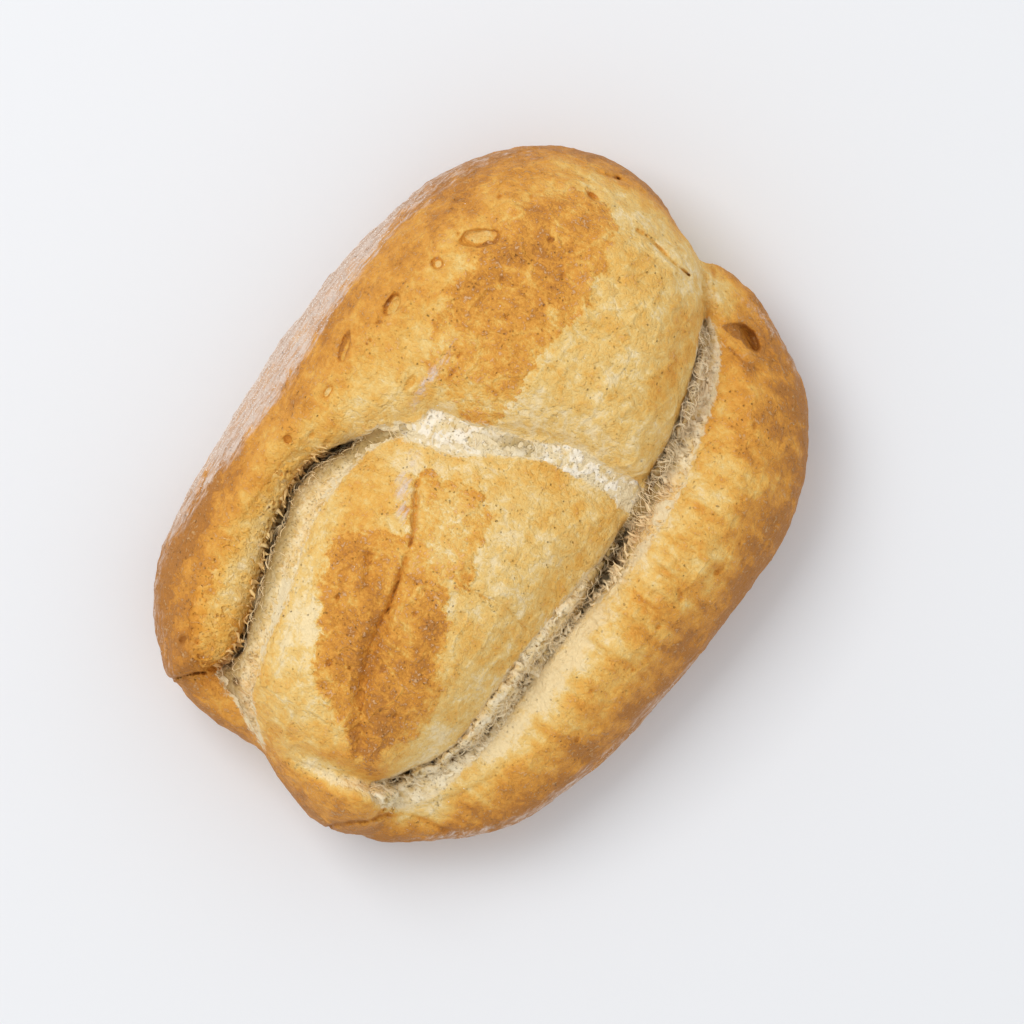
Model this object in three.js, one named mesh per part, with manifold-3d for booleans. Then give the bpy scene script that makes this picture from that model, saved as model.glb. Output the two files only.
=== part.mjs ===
// A hard dough loaf, baked free-form, that has burst along its seam in the oven.
// Millimetres, +Z up. The loaf lies on its flat base with its long axis along X, and the head is at +X.
//
// The loaf is one solid. Five swellings of dough and a low core run into each other, and where their
// shoulders meet they leave the deep tears. Each swelling has an outline, seen from above, and a dome.
import * as THREE from "three";
import * as BufferGeometryUtils from "three/addons/utils/BufferGeometryUtils.js";
import Module from "manifold-3d";

// Driving dimensions.
const LOAF_HEIGHT = 78;
const FOLD_SOFTNESS = { low: 7, high: 4, from: 28 }; // how far swellings run into each other, by height
const BRIDGE_SOFTNESS = 6;
const BASE_DEPTH = 6; // how far the rounded underside would reach below the flat base
const SPARE_DEPTH = 4; // how much of that is shaped before the base is cut
const CURVE_STEPS = 4; // straight pieces between two outline points
const BALL_DETAIL = 32; // how finely the ball is divided that is shaped into the loaf
const GUIDE = new THREE.Vector3(108, 80, 78); // half sizes of the ball before it is shaped
const EYE_DEPTH = 65; // how far below the base the rays start
const FAR_OUTSIDE = 230; // a distance along a ray that is outside the loaf

// An outline point is [x, y, shoulder, rim]: the shoulder is how far inwards the dome takes to reach its
// full height, and the rim is the height at which the side is widest.
const SWELLINGS = [
  {
    // The head fills the +X end and runs on as a rim along the +Y side.
    dome: { foot: 50, top: LOAF_HEIGHT, x: 52, y: 24, reachX: 70, reachY: 70 },
    undercut: 16,
    outline: [
      [95.5, -8.5, 20, 38],
      [101, 3, 26, 33],
      [105, 14, 30, 30],
      [106, 24, 32, 28],
      [103.5, 38, 32, 27],
      [95, 54, 32, 27],
      [82, 65, 32, 27],
      [62, 73.5, 32, 27],
      [38, 78, 30, 27],
      [10, 79.3, 28, 27],
      [-20, 78, 25, 27],
      [-48, 75.5, 22, 27],
      [-68, 72, 22, 27],
      [-82, 64, 20, 28],
      [-93, 53.5, 14, 31],
      [-97.5, 47.5, 12, 31],
      [-97, 44, 12, 32],
      [-89, 39.5, 12, 37],
      [-80, 36.4, 13, 42],
      [-66, 39.4, 15, 43],
      [-50, 45.5, 15, 44],
      [-36, 49.7, 14, 44],
      [-23, 51.4, 12, 46],
      [-12, 47, 11, 50],
      [-3, 41.6, 11, 54],
      [4, 37.2, 12, 58],
      [13, 30.5, 14, 62],
      [17.5, 20, 15, 63],
      [22, 8, 16, 62],
      [28, -5, 18, 59],
      [31, -18, 19, 55],
      [32, -29, 19, 50],
      [38, -33.3, 19, 47],
      [52, -31.3, 20, 45],
      [68, -26.5, 20, 43],
      [82, -19.5, 20, 41],
    ],
  },
  {
    // The heart rises between the tears and runs out over the edge at -X as a tail.
    dome: { foot: 40, top: 75, x: -38, y: 3, reachX: 84, reachY: 60 },
    undercut: 16,
    outline: [
      [21, -34.5, 16, 46],
      [10, -37, 18, 45],
      [-8, -37.5, 20, 44],
      [-28, -38.3, 21, 42],
      [-50, -38, 21, 41],
      [-63, -35.5, 20, 40],
      [-74, -31.5, 18, 38],
      [-84, -30, 16, 34],
      [-93, -30.5, 16, 30],
      [-100, -28, 18, 28],
      [-104.8, -21, 22, 27],
      [-106, -13, 26, 27],
      [-104.6, -4, 28, 27],
      [-101.8, 4, 28, 28],
      [-98.6, 11.5, 26, 30],
      [-94, 20, 20, 34],
      [-87, 31, 17, 37],
      [-72, 35.6, 17, 40],
      [-55, 41.8, 18, 41],
      [-40, 46.6, 19, 41],
      [-25, 49.4, 19, 43],
      [-12, 44.6, 16, 46],
      [-2, 38, 13, 50],
      [3.5, 29, 12, 57],
      [7, 17, 13, 61],
      [13, 7.5, 14, 61],
      [19, -3, 14, 59],
      [22.5, -15, 15, 56],
      [23, -26, 16, 50],
    ],
  },
  {
    // The cheek is the crescent along the -Y side, lower than the head that hangs over it.
    dome: { foot: 34, top: 56, x: 15, y: -52, reachX: 85, reachY: 40 },
    undercut: 16,
    outline: [
      [96, -9.5, 8, 36],
      [98.5, -13, 12, 30],
      [99, -21, 18, 27],
      [96.5, -33, 24, 25],
      [90, -47, 24, 25],
      [80, -60, 23, 25],
      [66, -70, 22, 25],
      [48, -76.5, 22, 25],
      [28, -78.2, 22, 25],
      [5, -77.2, 21, 25],
      [-20, -75, 20, 25],
      [-42, -71.5, 19, 25],
      [-62, -66.8, 18, 25],
      [-76, -59.5, 18, 25],
      [-88, -48.5, 17, 25],
      [-97, -37, 16, 25],
      [-101, -29, 12, 26],
      [-95, -24, 10, 30],
      [-86, -26, 8, 36],
      [-76, -31.5, 9, 40],
      [-67, -36.5, 11, 41],
      [-58, -39.8, 13, 42],
      [-45, -39.9, 13, 42],
      [-25, -40.2, 13, 42],
      [-10, -41.2, 13, 42],
      [0, -42, 13, 42],
      [10, -41.3, 13, 42],
      [20, -39.6, 13, 42],
      [32, -38, 13, 42],
      [45, -36.3, 13, 42],
      [58, -33.6, 13, 42],
      [68, -30.4, 12, 42],
      [77, -25.8, 10, 41],
      [84, -19, 8, 40],
      [92, -12.5, 7, 38],
    ],
  },
  {
    // The lip is the low strip of side crust that shows beyond the end of the rim at -X.
    dome: { foot: 38, top: 38, x: 0, y: 0, reachX: 1, reachY: 1 },
    undercut: 12,
    outline: [
      [-96, 46, 8, 24],
      [-99.3, 40, 9, 24],
      [-99.9, 30, 9, 24],
      [-99.4, 20, 9, 24],
      [-97.5, 9, 9, 24],
      [-88, 10, 9, 24],
      [-80, 24, 9, 24],
      [-80, 38, 9, 24],
      [-88, 48, 9, 24],
    ],
  },
];

// The stretched crumb that joins the heart to the head is a low wall: [x, y, height of its top].
const BRIDGE = {
  radius: 10,
  line: [
    [2, 37, 60],
    [9, 27, 63],
    [15, 14, 64],
    [20, 2, 63],
    [25, -12, 60],
    [27, -24, 55],
    [28, -34, 48],
  ],
};

// The core is the low swelling that all the others sit on, and its top is the floor of the tears.
const CORE = {
  halfLength: 97,
  halfWidth: 75,
  centreY: -1,
  squareness: 2.5,
  shoulder: 22,
  rim: 24,
  points: 28,
};
SWELLINGS.push({
  dome: { foot: 37, top: 45, x: 60, y: -30, reachX: 30, reachY: 13 },
  undercut: 16,
  outline: Array.from({ length: CORE.points }, (_, i) => corePoint((2 * Math.PI * i) / CORE.points)),
});

// Furrows pressed into the skin: [x, y, depth] along each line.
const FURROWS = [
  {
    // between the heart and its tail
    halfWidth: 3.4,
    line: [
      [-94.5, 5, 0],
      [-93.2, 0, 2],
      [-91, -8, 4],
      [-88.5, -15, 5.5],
      [-85.5, -22, 5.5],
      [-80, -27.5, 4],
      [-72, -32, 1],
    ],
  },
  {
    // along the fold in the middle of the heart
    halfWidth: 2,
    line: [
      [-26, 10.5, 0],
      [-36, 7.5, 1.6],
      [-52, 3, 1.8],
      [-68, -3, 1.6],
      [-80, -12, 0],
    ],
  },
];

// A point of the core's outline, which is a rounded oblong.
function corePoint(angle) {
  const { halfLength, halfWidth, centreY, squareness, shoulder, rim } = CORE;
  const [across, aside] = [Math.cos(angle), Math.sin(angle)];
  const reach = (Math.abs(across) ** squareness + Math.abs(aside) ** squareness) ** (-1 / squareness);
  return [halfLength * across * reach, centreY + halfWidth * aside * reach, shoulder, rim];
}

// A smooth curve through the points. It carries every number that a point holds, not only x and y.
function smoothCurve(points, closed) {
  const n = points.length;
  const at = (i) => points[closed ? (i + n) % n : Math.min(Math.max(i, 0), n - 1)];
  const curve = [];
  for (let i = 0; i < (closed ? n : n - 1); i++) {
    const [a, b, c, d] = [at(i - 1), at(i), at(i + 1), at(i + 2)];
    for (let k = 0; k < CURVE_STEPS; k++) {
      const t = k / CURVE_STEPS;
      curve.push(
        b.map(
          (_, m) =>
            0.5 *
            (2 * b[m] +
              (c[m] - a[m]) * t +
              (2 * a[m] - 5 * b[m] + 4 * c[m] - d[m]) * t ** 2 +
              (3 * b[m] - a[m] - 3 * c[m] + d[m]) * t ** 3),
        ),
      );
    }
  }
  if (!closed) curve.push(points[n - 1]);
  return curve;
}

// The straight pieces of a curve, each with what it carries at its middle.
function piecesOf(curve, closed) {
  return curve.slice(0, closed ? curve.length : -1).map((a, i) => {
    const b = curve[(i + 1) % curve.length];
    return { a, b, dx: b[0] - a[0], dy: b[1] - a[1], length: Math.hypot(b[0] - a[0], b[1] - a[1]) };
  });
}

// Where along a piece the spot nearest to (x, y) is, from 0 to 1.
function nearestOn({ a, dx, dy, length }, x, y) {
  return Math.min(Math.max(((x - a[0]) * dx + (y - a[1]) * dy) / length ** 2, 0), 1);
}

// How deep (x, y) lies inside a closed outline, with the shoulder and rim that apply there. Deep inside,
// every stretch of the outline has a say, so that the dome has no ridge where the nearest one changes.
const SAY = 1.1781; // makes the depth true beside a straight outline
function insideOutline(pieces, x, y) {
  let nearest = Infinity;
  let inside = false;
  let total = 0;
  let shoulder = 0;
  let rim = 0;
  for (const piece of pieces) {
    const { a, b, dx, dy, length } = piece;
    const t = nearestOn(piece, x, y);
    const squared = (x - a[0] - t * dx) ** 2 + (y - a[1] - t * dy) ** 2;
    nearest = Math.min(nearest, squared);
    const near = 1 / (squared + 0.05);
    const weight = length * near * near * near;
    total += weight;
    shoulder += (weight * (a[2] + b[2])) / 2;
    rim += (weight * (a[3] + b[3])) / 2;
    if (a[1] > y !== b[1] > y && x < a[0] + ((y - a[1]) / dy) * dx) inside = !inside;
  }
  const exact = Math.sqrt(nearest);
  const soft = (total / SAY) ** -0.2;
  const depth = inside ? THREE.MathUtils.lerp(exact, soft, THREE.MathUtils.smoothstep(exact, 1, 6)) : -exact;
  return { depth, shoulder: shoulder / total, rim: rim / total };
}

// How far (x, y) is from an open line, and the value that the line carries there.
function besideLine(pieces, x, y) {
  let best = { distance: Infinity, value: 0 };
  for (const piece of pieces) {
    const t = nearestOn(piece, x, y);
    const distance = Math.hypot(x - piece.a[0] - t * piece.dx, y - piece.a[1] - t * piece.dy);
    if (distance < best.distance) best = { distance, value: THREE.MathUtils.lerp(piece.a[2], piece.b[2], t) };
  }
  return best;
}

// The smaller of two depths, rounded over where they are nearly the same.
function softUnion(a, b, softness) {
  const h = Math.max(softness - Math.abs(a - b), 0) / softness;
  return Math.min(a, b) - (h * h * softness) / 4;
}

const outlines = SWELLINGS.map((s) => piecesOf(smoothCurve(s.outline, true), true));
const bridgeLine = piecesOf(smoothCurve(BRIDGE.line, false), false);
const furrowLines = FURROWS.map((f) => piecesOf(smoothCurve(f.line, false), false));

// Everything about the spot (x, y) that doesn't depend on the height.
function plan(x, y) {
  const swellings = SWELLINGS.map(({ dome, undercut }, i) => {
    const bump = Math.exp(-(((x - dome.x) / dome.reachX) ** 2) - ((y - dome.y) / dome.reachY) ** 2);
    const top = dome.foot + (dome.top - dome.foot) * bump;
    return { ...insideOutline(outlines[i], x, y), top, undercut };
  });
  const furrow = FURROWS.reduce((sum, { halfWidth }, i) => {
    const { distance, value } = besideLine(furrowLines[i], x, y);
    return sum + value * Math.exp(-((distance / halfWidth) ** 2));
  }, 0);
  return { swellings, bridge: besideLine(bridgeLine, x, y), furrow };
}

// The section of a swelling: a quarter ellipse up from its rim to the dome, and another that tucks in.
function swellingDepth({ depth, shoulder, rim, top, undercut }, z) {
  const above = z >= rim;
  const reach = above ? shoulder : undercut;
  const height = above ? Math.max(top - rim, 3) : rim + BASE_DEPTH;
  return (Math.hypot(Math.max(1 - depth / reach, 0), (z - rim) / height) - 1) * reach;
}

// Below 0 inside the loaf and above 0 outside it. Below the underside the loaf goes straight on down.
function loafDepth(p, height) {
  const z = Math.max(height, -SPARE_DEPTH);
  const { low, high, from } = FOLD_SOFTNESS;
  const softness = THREE.MathUtils.lerp(low, high, THREE.MathUtils.smoothstep(z, 0, from));
  const dough = p.swellings.map((s) => swellingDepth(s, z)).reduce((a, b) => softUnion(a, b, softness));
  const bridgeRise = Math.max(z - p.bridge.value + BRIDGE.radius, 0);
  const bridge = Math.hypot(p.bridge.distance, bridgeRise) - BRIDGE.radius;
  return softUnion(dough, bridge, BRIDGE_SOFTNESS) + p.furrow;
}

// The surface is a ball, with each corner moved along its own ray until it meets the dough. The rays start
// from a point below the base, from which the bottoms of the tears can be seen past their edges.
function shapeBall() {
  const ball = new THREE.IcosahedronGeometry(1, BALL_DETAIL);
  ball.deleteAttribute("normal");
  ball.deleteAttribute("uv");
  const shaped = BufferGeometryUtils.mergeVertices(ball, 1e-5);
  const corners = shaped.attributes.position;
  const start = new THREE.Vector3(0, 0, -EYE_DEPTH);
  for (let i = 0; i < corners.count; i++) {
    const guide = new THREE.Vector3().fromBufferAttribute(corners, i).multiply(GUIDE);
    const ray = new THREE.Ray(start, guide.sub(start).normalize());
    const hit = ray.at(meetDough(ray), new THREE.Vector3());
    corners.setXYZ(i, hit.x, hit.y, hit.z);
  }
  return shaped;
}

// Comes in along the ray from far outside, and halves the last step until the surface is found.
function meetDough(ray) {
  const spot = new THREE.Vector3();
  const depthAt = (distance) => {
    ray.at(distance, spot);
    return loafDepth(plan(spot.x, spot.y), spot.z);
  };
  let outer = FAR_OUTSIDE;
  let inner = outer;
  for (let depth = depthAt(outer); depth > 0; depth = depthAt(inner)) {
    outer = inner;
    inner -= Math.max(depth * 0.5, 0.7);
  }
  for (let round = 0; round < 10; round++) {
    const middle = (outer + inner) / 2;
    if (depthAt(middle) > 0) outer = middle;
    else inner = middle;
  }
  return inner;
}

const wasm = await Module();
wasm.setup();

function solidOf(geometry) {
  return new wasm.Manifold(
    new wasm.Mesh({
      numProp: 3,
      vertProperties: Float32Array.from(geometry.attributes.position.array),
      triVerts: Uint32Array.from(geometry.index.array),
    }),
  );
}

// Everything below z = 0 is cut away, which leaves the flat base that the loaf was baked on.
function cutFlat(solid) {
  const size = 3 * FAR_OUTSIDE;
  const block = new THREE.BoxGeometry(size, size, size);
  block.deleteAttribute("normal");
  block.deleteAttribute("uv");
  block.translate(0, 0, -size / 2);
  return solid.subtract(solidOf(BufferGeometryUtils.mergeVertices(block)));
}

const solid = cutFlat(solidOf(shapeBall()));
const mesh = solid.getMesh();

const geometry = new THREE.BufferGeometry();
geometry.setAttribute("position", new THREE.BufferAttribute(Float32Array.from(mesh.vertProperties), 3));
geometry.setIndex(new THREE.BufferAttribute(Uint32Array.from(mesh.triVerts), 1));
// The origin is under the middle of the loaf.
geometry.computeBoundingBox();
const middle = geometry.boundingBox.getCenter(new THREE.Vector3());
geometry.translate(-middle.x, -middle.y, 0);
geometry.computeVertexNormals();

const crust = new THREE.MeshStandardMaterial({ color: 0xd9a866, roughness: 0.75, metalness: 0 });
const loaf = new THREE.Mesh(geometry, crust);
loaf.name = "loaf";

const group = new THREE.Group();
group.add(loaf);
export default group;
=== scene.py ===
import math
from itertools import product
import bpy
import numpy as np
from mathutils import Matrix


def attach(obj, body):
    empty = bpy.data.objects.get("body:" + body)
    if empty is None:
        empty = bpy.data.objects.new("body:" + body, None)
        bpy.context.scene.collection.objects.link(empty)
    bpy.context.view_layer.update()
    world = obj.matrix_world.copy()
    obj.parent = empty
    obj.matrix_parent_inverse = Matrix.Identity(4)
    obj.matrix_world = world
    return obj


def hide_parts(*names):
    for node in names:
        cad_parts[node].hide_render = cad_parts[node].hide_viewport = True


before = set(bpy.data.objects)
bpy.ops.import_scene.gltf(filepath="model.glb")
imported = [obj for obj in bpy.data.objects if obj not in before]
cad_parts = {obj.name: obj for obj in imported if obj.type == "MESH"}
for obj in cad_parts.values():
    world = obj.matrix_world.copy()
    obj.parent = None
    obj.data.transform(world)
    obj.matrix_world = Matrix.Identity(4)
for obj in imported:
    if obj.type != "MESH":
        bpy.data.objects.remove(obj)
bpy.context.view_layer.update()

import openvdb
from mathutils import Vector

mm = 0.001

# The loaf is worked out in millimetres, from the same outlines as its solid.
# An outline point is (x, y, shoulder, rim height), seen from above.
swellings = {
    "head": dict(foot=50, top=78, at=(52, 24), reach=(70, 70), undercut=16, outline=[
        (95.5, -8.5, 20, 38), (101, 3, 26, 33), (105, 14, 30, 30), (106, 24, 32, 28), (103.5, 38, 32, 27),
        (95, 54, 32, 27), (82, 65, 32, 27), (62, 73.5, 32, 27), (38, 78, 30, 27), (10, 79.3, 28, 27),
        (-20, 78, 25, 27), (-48, 75.5, 22, 27), (-68, 72, 22, 27), (-82, 64, 20, 28), (-93, 53.5, 14, 31),
        (-97.5, 47.5, 12, 31), (-97, 44, 12, 32), (-89, 39.5, 12, 37), (-80, 36.4, 13, 42),
        (-66, 39.4, 15, 43), (-50, 45.5, 15, 44), (-36, 49.7, 14, 44), (-23, 51.4, 12, 46),
        (-12, 47, 11, 50), (-3, 41.6, 11, 54), (4, 37.2, 12, 58), (13, 30.5, 14, 62), (17.5, 20, 15, 63),
        (22, 8, 16, 62), (28, -5, 18, 59), (31, -18, 19, 55), (32, -29, 19, 50), (38, -33.3, 19, 47),
        (52, -31.3, 20, 45), (68, -26.5, 20, 43), (82, -19.5, 20, 41)]),
    "heart": dict(foot=40, top=75, at=(-38, 3), reach=(84, 60), undercut=16, outline=[
        (21, -34.5, 16, 46), (10, -37, 18, 45), (-8, -37.5, 20, 44), (-28, -38.3, 21, 42),
        (-50, -38, 21, 41), (-63, -35.5, 20, 40), (-74, -31.5, 18, 38), (-84, -30, 16, 34),
        (-93, -30.5, 16, 30), (-100, -28, 18, 28), (-104.8, -21, 22, 27), (-106, -13, 26, 27),
        (-104.6, -4, 28, 27), (-101.8, 4, 28, 28), (-98.6, 11.5, 26, 30), (-94, 20, 20, 34),
        (-87, 31, 17, 37), (-72, 35.6, 17, 40), (-55, 41.8, 18, 41), (-40, 46.6, 19, 41),
        (-25, 49.4, 19, 43), (-12, 44.6, 16, 46), (-2, 38, 13, 50), (3.5, 29, 12, 57), (7, 17, 13, 61),
        (13, 7.5, 14, 61), (19, -3, 14, 59), (22.5, -15, 15, 56), (23, -26, 16, 50)]),
    "cheek": dict(foot=34, top=56, at=(15, -52), reach=(85, 40), undercut=16, outline=[
        (96, -9.5, 8, 36), (98.5, -13, 12, 30), (99, -21, 18, 27), (96.5, -33, 24, 25), (90, -47, 24, 25),
        (80, -60, 23, 25), (66, -70, 22, 25), (48, -76.5, 22, 25), (28, -78.2, 22, 25), (5, -77.2, 21, 25),
        (-20, -75, 20, 25), (-42, -71.5, 19, 25), (-62, -66.8, 18, 25), (-76, -59.5, 18, 25),
        (-88, -48.5, 17, 25), (-97, -37, 16, 25), (-101, -29, 12, 26), (-95, -24, 10, 30), (-86, -26, 8, 36),
        (-76, -31.5, 9, 40), (-67, -36.5, 11, 41), (-58, -39.8, 13, 42), (-45, -39.9, 13, 42),
        (-25, -40.2, 13, 42), (-10, -41.2, 13, 42), (0, -42, 13, 42), (10, -41.3, 13, 42),
        (20, -39.6, 13, 42), (32, -38, 13, 42), (45, -36.3, 13, 42), (58, -33.6, 13, 42),
        (68, -30.4, 12, 42), (77, -25.8, 10, 41), (84, -19, 8, 40), (92, -12.5, 7, 38)]),
    "lip": dict(foot=38, top=38, at=(0, 0), reach=(1, 1), undercut=12, outline=[
        (-96, 46, 8, 24), (-99.3, 40, 9, 24), (-99.9, 30, 9, 24), (-99.4, 20, 9, 24), (-97.5, 9, 9, 24),
        (-88, 10, 9, 24), (-80, 24, 9, 24), (-80, 38, 9, 24), (-88, 48, 9, 24)]),
}
loafForm = dict(
    foldLow=7, foldHigh=2.4, foldFrom=28, bridgeFold=4, bridgeRadius=10, baseDepth=6,
    core=dict(length=97, width=75, y=-1, power=2.5, shoulder=22, rim=24, points=28),
    bridge=[
        (2, 37, 60), (9, 27, 63), (15, 14, 64), (20, 2, 63), (25, -12, 60), (27, -24, 55), (28, -34, 48)],
    furrows=[
        (3.4, [(-94.5, 5, 0), (-93.2, 0, 2), (-91, -8, 4), (-88.5, -15, 5.5), (-85.5, -22, 5.5),
            (-80, -27.5, 4), (-72, -32, 1)]),
        (2.4, [(-26, 10.5, 0), (-36, 7.5, 1.3), (-52, 3, 1.7), (-68, -3, 1.6), (-78, -10, 1.2),
            (-85, -18, 0)]),
        (1.0, [(-2, 23, 0), (-10, 19, 1.5), (-16, 15, 1.6), (-23, 11.5, 0)]),
    ])


def smoothCurve(points, closed, steps=6):
    p = np.array(points, float)
    n = len(p)
    i = np.arange(n if closed else n - 1)
    pick = (lambda k: p[k % n]) if closed else (lambda k: p[np.clip(k, 0, n - 1)])
    a, b, c, d = pick(i - 1)[:, None], pick(i)[:, None], pick(i + 1)[:, None], pick(i + 2)[:, None]
    t = (np.arange(steps) / steps)[None, :, None]
    curve = 0.5 * (2 * b + (c - a) * t + (2 * a - 5 * b + 4 * c - d) * t**2 + (3 * b - a - 3 * c + d) * t**3)
    curve = curve.reshape(-1, p.shape[1])
    return curve if closed else np.vstack([curve, p[-1:]])


def smoothstep(x, low, high):
    t = np.clip((x - low) / (high - low), 0, 1)
    return t * t * (3 - 2 * t)


# Depth inside a closed outline, with what its points carry. Deep inside, all of the outline has a say.
def insideOutline(points, x, y, steps=6):
    curve = smoothCurve(points, True, steps)
    best = np.full(x.shape, 1e9)
    total = np.zeros(x.shape)
    carried = [np.zeros(x.shape) for _ in range(curve.shape[1] - 2)]
    inside = np.zeros(x.shape, bool)
    for a, b in zip(curve, np.roll(curve, -1, 0)):
        dx, dy = b[0] - a[0], b[1] - a[1]
        px, py = x - a[0], y - a[1]
        t = np.clip((px * dx + py * dy) / (dx * dx + dy * dy + 1e-12), 0, 1)
        squared = (px - t * dx) ** 2 + (py - t * dy) ** 2
        np.minimum(best, squared, out=best)
        weight = math.hypot(dx, dy) / (squared + 0.05) ** 3
        total += weight
        for k, values in enumerate(carried):
            values += weight * (a[2 + k] + b[2 + k]) / 2
        if abs(dy) > 1e-9:
            inside ^= ((a[1] > y) != (b[1] > y)) & (px < py / dy * dx)
    exact = np.sqrt(best)
    beforeStraightEdge = 1.1781
    soft = (total / beforeStraightEdge) ** -0.2
    depth = np.where(inside, exact + (soft - exact) * smoothstep(exact, 1, 6), -exact)
    return [depth] + [values / total for values in carried]


def besideLine(points, x, y, steps=6):
    curve = smoothCurve(points, False, steps)
    best = np.full(x.shape, 1e9)
    value = np.zeros(x.shape)
    for a, b in zip(curve[:-1], curve[1:]):
        dx, dy = b[0] - a[0], b[1] - a[1]
        t = np.clip(((x - a[0]) * dx + (y - a[1]) * dy) / (dx * dx + dy * dy + 1e-12), 0, 1)
        squared = (x - a[0] - t * dx) ** 2 + (y - a[1] - t * dy) ** 2
        nearer = squared < best
        best = np.where(nearer, squared, best)
        value = np.where(nearer, a[2] + t * (b[2] - a[2]), value)
    return np.sqrt(best), value


def softUnion(a, b, softness):
    h = np.maximum(softness - np.abs(a - b), 0) / softness
    return np.minimum(a, b) - h * h * softness / 4


# A grid over the plan, for what depends on x and y alone. It is read off between its points.
class PlanGrid:
    def __init__(self, step, reachX, reachY):
        self.step = step
        self.xs = np.arange(-reachX, reachX + 0.01, step)
        self.ys = np.arange(-reachY, reachY + 0.01, step)
        self.x, self.y = np.meshgrid(self.xs, self.ys, indexing="ij")

    def read(self, values, x, y):
        u = np.clip((x - self.xs[0]) / self.step, 0, len(self.xs) - 1.001)
        v = np.clip((y - self.ys[0]) / self.step, 0, len(self.ys) - 1.001)
        i, j = u.astype(int), v.astype(int)
        u, v = u - i, v - j
        low = values[i, j] * (1 - v) + values[i, j + 1] * v
        high = values[i + 1, j] * (1 - v) + values[i + 1, j + 1] * v
        return low * (1 - u) + high * u


plan = PlanGrid(step=0.8, reachX=114, reachY=86)


def planSwelling(swelling):
    depth, shoulder, rim = insideOutline(swelling["outline"], plan.x, plan.y, 4)
    across = (plan.x - swelling["at"][0]) / swelling["reach"][0]
    aside = (plan.y - swelling["at"][1]) / swelling["reach"][1]
    top = swelling["foot"] + (swelling["top"] - swelling["foot"]) * np.exp(-(across**2) - aside**2)
    return dict(depth=depth, shoulder=shoulder, rim=rim, top=top, undercut=swelling["undercut"])


def coreSwelling(core):
    outline = []
    for i in range(core["points"]):
        angle = 2 * math.pi * i / core["points"]
        across, aside = math.cos(angle), math.sin(angle)
        reach = (abs(across) ** core["power"] + abs(aside) ** core["power"]) ** (-1 / core["power"])
        outline.append((core["length"] * across * reach, core["y"] + core["width"] * aside * reach,
                        core["shoulder"], core["rim"]))
    return dict(foot=36, top=45, at=(60, -30), reach=(30, 13), undercut=16, outline=outline)


planned = [planSwelling(s) for s in [*swellings.values(), coreSwelling(loafForm["core"])]]
plannedBridge = besideLine(loafForm["bridge"], plan.x, plan.y)
furrow = np.zeros(plan.x.shape)
for halfWidth, line in loafForm["furrows"]:
    distance, deep = besideLine(line, plan.x, plan.y)
    furrow += deep * np.exp(-((distance / halfWidth) ** 2))
print("plan of the swellings ready")


# Below 0 inside the loaf and above 0 outside it, on a block of points.
def loafDepth(xs, ys, zs):
    x, y = np.meshgrid(xs, ys, indexing="ij")
    read = lambda values: plan.read(values, x, y).astype(np.float32)
    swells = [{k: read(v) if isinstance(v, np.ndarray) else v for k, v in s.items()} for s in planned]
    bridgeAway, bridgeTop = read(plannedBridge[0]), read(plannedBridge[1])
    pressed = read(furrow)
    block = np.empty((len(xs), len(ys), len(zs)), np.float32)
    for k, z in enumerate(zs):
        softness = loafForm["foldLow"] + (loafForm["foldHigh"] - loafForm["foldLow"]) * smoothstep(
            z, 0, loafForm["foldFrom"])
        total = None
        for s in swells:
            above = z >= s["rim"]
            reach = np.where(above, s["shoulder"], s["undercut"])
            height = np.where(above, np.maximum(s["top"] - s["rim"], 3), s["rim"] + loafForm["baseDepth"])
            aside = np.maximum(1 - s["depth"] / reach, 0)
            depth = (np.hypot(aside, (z - s["rim"]) / height) - 1) * reach
            total = depth if total is None else softUnion(total, depth, softness)
        rise = np.maximum(z - bridgeTop + loafForm["bridgeRadius"], 0)
        bridge = np.hypot(bridgeAway, rise) - loafForm["bridgeRadius"]
        block[:, :, k] = softUnion(total, bridge, loafForm["bridgeFold"]) + pressed
    return block


# Smooth noise between -1 and 1 at points given in millimetres.
def hashed(i, j, k, seed):
    h = (i * 73856093 ^ j * 19349663 ^ k * 83492791 ^ seed * 2654435761) & 0xFFFFFFFF
    h = (h ^ (h >> 13)) * 1274126177 & 0xFFFFFFFF
    return ((h ^ (h >> 16)) & 0xFFFFFF) / 0xFFFFFF


def noise(points, size, seed):
    q = points / np.asarray(size)
    cell = np.floor(q).astype(np.int64)
    f = q - cell
    u, v, w = (f * f * (3 - 2 * f)).T
    total = 0
    for a, b, c in product((0, 1), repeat=3):
        weight = (u if a else 1 - u) * (v if b else 1 - v) * (w if c else 1 - w)
        total = total + weight * hashed(*(cell + (a, b, c)).T, seed)
    return total * 2 - 1


def planNoise(x, y, size, seed):
    return noise(np.stack([x.ravel(), y.ravel(), 0 * x.ravel()], -1), size, seed).reshape(x.shape)


# How far points lie outside the nearest of many scattered bubbles. Below 0 is inside one.
def bubbles(points, size, radius, seed):
    size = np.asarray(size, float)
    q = points / size
    cell = np.floor(q).astype(np.int64)
    best = np.full(len(points), 9.0)
    for step in product((-1, 0, 1), repeat=3):
        near = (cell + step).T
        squared = sum((near[n] + hashed(*near, seed + n) - q[:, n]) ** 2 for n in range(3))
        grown = 0.45 + 0.55 * hashed(*near, seed + 3)
        np.minimum(best, np.sqrt(squared) - radius * grown, out=best)
    return best * size.min()


# Thin curving ridges between 0 and 1, where smooth noise changes its sign.
def veins(points, size, width, seed):
    drift = np.stack([noise(points, size * 1.3, seed + k) for k in (1, 2, 3)], -1)
    return 1 - smoothstep(np.abs(noise(points + 0.45 * size * drift, size, seed)), 0, width)


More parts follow.
